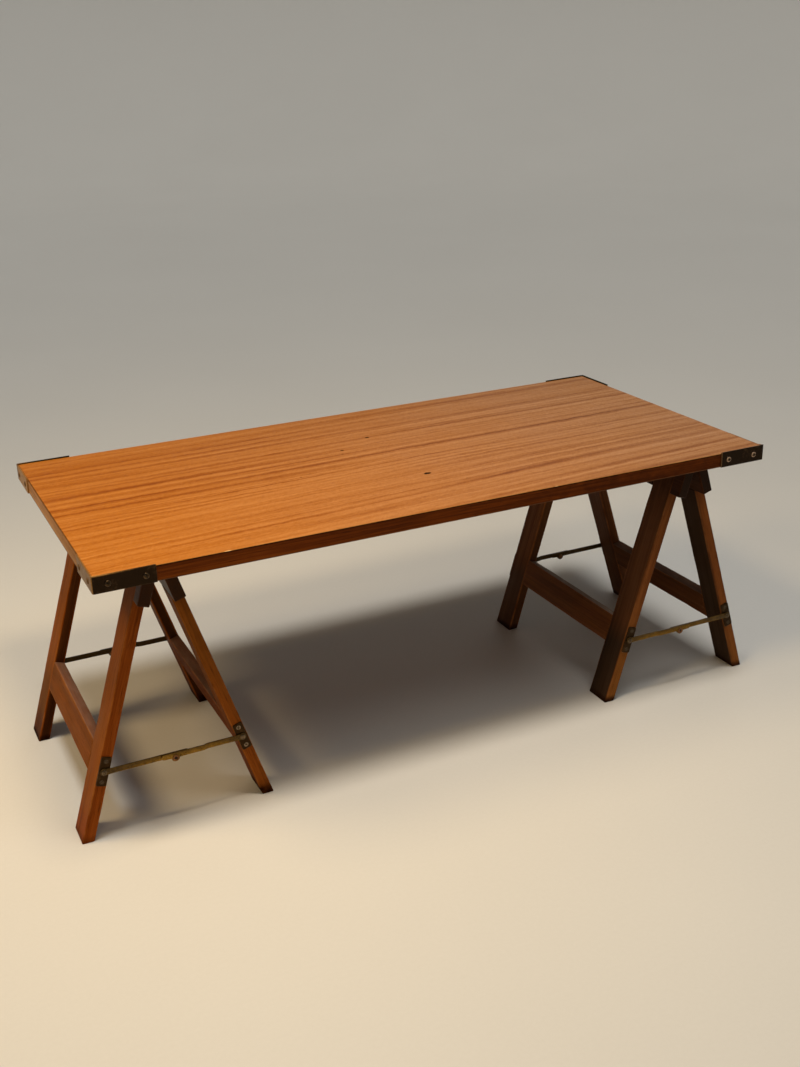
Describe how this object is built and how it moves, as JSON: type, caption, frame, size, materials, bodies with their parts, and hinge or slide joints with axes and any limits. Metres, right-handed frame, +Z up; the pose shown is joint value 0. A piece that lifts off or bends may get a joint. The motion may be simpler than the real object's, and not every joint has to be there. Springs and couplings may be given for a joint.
{
  "type": "trestle coffee table",
  "caption": "Low trestle coffee table: a loose veneered rectangular top with metal corner brackets, lying on folding A-frame trestles held open by brass stays.",
  "frame": {"origin": "on the floor, under the centre of the whole object's bounding box", "axes": "+X along the table's length, +Y towards the back, +Z up"},
  "size_m": [1.2296, 0.5554, 0.444],
  "materials": {
    "top_veneer": "satin varnished ribbon-stripe veneer",
    "panel_core": "bare",
    "backing_veneer": "plain sealed veneer",
    "lipping": "dark stained, satin",
    "trestle_wood": "dark stained, satin",
    "bracket_metal": "black, worn",
    "stay_brass": "aged",
    "plate_brass": "darkened",
    "hinge_steel": "dull"
  },
  "bodies": {
    "left_ridge": {"left_front_hinge_pin": "hinge_steel", "left_back_hinge_pin": "hinge_steel"},
    "tabletop": {"top_face_veneer": "top_veneer", "top_panel_core": "panel_core", "top_backing_veneer": "backing_veneer", "top_front_lipping": "lipping", "top_back_lipping": "lipping", "top_left_lipping": "lipping", "top_right_lipping": "lipping", "front_left_corner_bracket": "bracket_metal", "front_right_corner_bracket": "bracket_metal", "back_left_corner_bracket": "bracket_metal", "back_right_corner_bracket": "bracket_metal"},
    "left_outer_leaf": {"left_outer_front_leg": "trestle_wood", "left_outer_back_leg": "trestle_wood", "left_outer_top_rail": "trestle_wood", "left_outer_stretcher": "trestle_wood", "left_front_hinge_outer_plate": "hinge_steel", "left_back_hinge_outer_plate": "hinge_steel", "left_front_stay_outer_plate": "plate_brass", "left_back_stay_outer_plate": "plate_brass"},
    "left_front_stay_outer_link_body": {"left_front_stay_outer_link": "stay_brass", "left_front_stay_rivet": "stay_brass"},
    "left_back_stay_outer_link_body": {"left_back_stay_outer_link": "stay_brass", "left_back_stay_rivet": "stay_brass"},
    "left_inner_leaf": {"left_inner_front_leg": "trestle_wood", "left_inner_back_leg": "trestle_wood", "left_inner_top_rail": "trestle_wood", "left_inner_stretcher": "trestle_wood", "left_front_hinge_inner_plate": "hinge_steel", "left_back_hinge_inner_plate": "hinge_steel", "left_front_stay_inner_plate": "plate_brass", "left_back_stay_inner_plate": "plate_brass"},
    "left_front_stay_inner_link_body": {"left_front_stay_inner_link": "stay_brass"},
    "left_back_stay_inner_link_body": {"left_back_stay_inner_link": "stay_brass"},
    "right_ridge": {"right_front_hinge_pin": "hinge_steel", "right_back_hinge_pin": "hinge_steel"},
    "right_outer_leaf": {"right_outer_front_leg": "trestle_wood", "right_outer_back_leg": "trestle_wood", "right_outer_top_rail": "trestle_wood", "right_outer_stretcher": "trestle_wood", "right_front_hinge_outer_plate": "hinge_steel", "right_back_hinge_outer_plate": "hinge_steel", "right_front_stay_outer_plate": "plate_brass", "right_back_stay_outer_plate": "plate_brass"},
    "right_front_stay_outer_link_body": {"right_front_stay_outer_link": "stay_brass", "right_front_stay_rivet": "stay_brass"},
    "right_back_stay_outer_link_body": {"right_back_stay_outer_link": "stay_brass", "right_back_stay_rivet": "stay_brass"},
    "right_inner_leaf": {"right_inner_front_leg": "trestle_wood", "right_inner_back_leg": "trestle_wood", "right_inner_top_rail": "trestle_wood", "right_inner_stretcher": "trestle_wood", "right_front_hinge_inner_plate": "hinge_steel", "right_back_hinge_inner_plate": "hinge_steel", "right_front_stay_inner_plate": "plate_brass", "right_back_stay_inner_plate": "plate_brass"},
    "right_front_stay_inner_link_body": {"right_front_stay_inner_link": "stay_brass"},
    "right_back_stay_inner_link_body": {"right_back_stay_inner_link": "stay_brass"}
  },
  "joints": [
    {"name": "top_lift", "type": "slide", "parent": "left_ridge", "child": "tabletop", "axis": [0, 0, 1], "range_m": [0, 0.2]},
    {"name": "left_fold", "type": "hinge", "parent": "left_ridge", "child": "left_outer_leaf", "pos_m": [-0.4625, -0.0315, 0.416], "axis": [0, -1, 0], "range_deg": [0, 17.2]},
    {"name": "left_front_stay_outer_swing", "type": "hinge", "parent": "left_outer_leaf", "child": "left_front_stay_outer_link_body", "pos_m": [-0.56983, -0.2265, 0.1145], "axis": [0, -1, 0], "range_deg": [0, 68.5]},
    {"name": "left_back_stay_outer_swing", "type": "hinge", "parent": "left_outer_leaf", "child": "left_back_stay_outer_link_body", "pos_m": [-0.56983, 0.1635, 0.1145], "axis": [0, -1, 0], "range_deg": [0, 68.5]},
    {"name": "left_inner_leaf_fold", "type": "hinge", "parent": "left_ridge", "child": "left_inner_leaf", "pos_m": [-0.4625, -0.0315, 0.416], "axis": [0, 1, 0], "range_deg": [0, 17.25]},
    {"name": "left_front_stay_inner_swing", "type": "hinge", "parent": "left_inner_leaf", "child": "left_front_stay_inner_link_body", "pos_m": [-0.35517, -0.2265, 0.1145], "axis": [0, 1, 0], "range_deg": [0, 68.5]},
    {"name": "left_back_stay_inner_swing", "type": "hinge", "parent": "left_inner_leaf", "child": "left_back_stay_inner_link_body", "pos_m": [-0.35517, 0.1635, 0.1145], "axis": [0, 1, 0], "range_deg": [0, 68.5]},
    {"name": "right_trestle_lift", "type": "slide", "parent": "tabletop", "child": "right_ridge", "axis": [0, 0, -1], "range_m": [0, 0.2]},
    {"name": "right_fold", "type": "hinge", "parent": "right_ridge", "child": "right_outer_leaf", "pos_m": [0.4625, -0.0465, 0.416], "axis": [0, 1, 0], "range_deg": [0, 17.2]},
    {"name": "right_front_stay_outer_swing", "type": "hinge", "parent": "right_outer_leaf", "child": "right_front_stay_outer_link_body", "pos_m": [0.56983, -0.2415, 0.1145], "axis": [0, 1, 0], "range_deg": [0, 68.5]},
    {"name": "right_back_stay_outer_swing", "type": "hinge", "parent": "right_outer_leaf", "child": "right_back_stay_outer_link_body", "pos_m": [0.56983, 0.1485, 0.1145], "axis": [0, 1, 0], "range_deg": [0, 68.5]},
    {"name": "right_inner_leaf_fold", "type": "hinge", "parent": "right_ridge", "child": "right_inner_leaf", "pos_m": [0.4625, -0.0465, 0.416], "axis": [0, -1, 0], "range_deg": [0, 17.25]},
    {"name": "right_front_stay_inner_swing", "type": "hinge", "parent": "right_inner_leaf", "child": "right_front_stay_inner_link_body", "pos_m": [0.35517, -0.2415, 0.1145], "axis": [0, -1, 0], "range_deg": [0, 68.5]},
    {"name": "right_back_stay_inner_swing", "type": "hinge", "parent": "right_inner_leaf", "child": "right_back_stay_inner_link_body", "pos_m": [0.35517, 0.1485, 0.1145], "axis": [0, -1, 0], "range_deg": [0, 68.5]}
  ],
  "couplings": [
    {"joint": "left_front_stay_outer_swing", "follows": "left_fold", "ratio": 3.9562},
    {"joint": "left_back_stay_outer_swing", "follows": "left_fold", "ratio": 3.9562},
    {"joint": "left_inner_leaf_fold", "follows": "left_fold", "ratio": 1},
    {"joint": "left_front_stay_inner_swing", "follows": "left_fold", "ratio": 3.9562},
    {"joint": "left_back_stay_inner_swing", "follows": "left_fold", "ratio": 3.9562},
    {"joint": "right_trestle_lift", "follows": "top_lift", "ratio": 1},
    {"joint": "right_front_stay_outer_swing", "follows": "right_fold", "ratio": 3.9562},
    {"joint": "right_back_stay_outer_swing", "follows": "right_fold", "ratio": 3.9562},
    {"joint": "right_inner_leaf_fold", "follows": "right_fold", "ratio": 1},
    {"joint": "right_front_stay_inner_swing", "follows": "right_fold", "ratio": 3.9562},
    {"joint": "right_back_stay_inner_swing", "follows": "right_fold", "ratio": 3.9562}
  ]
}
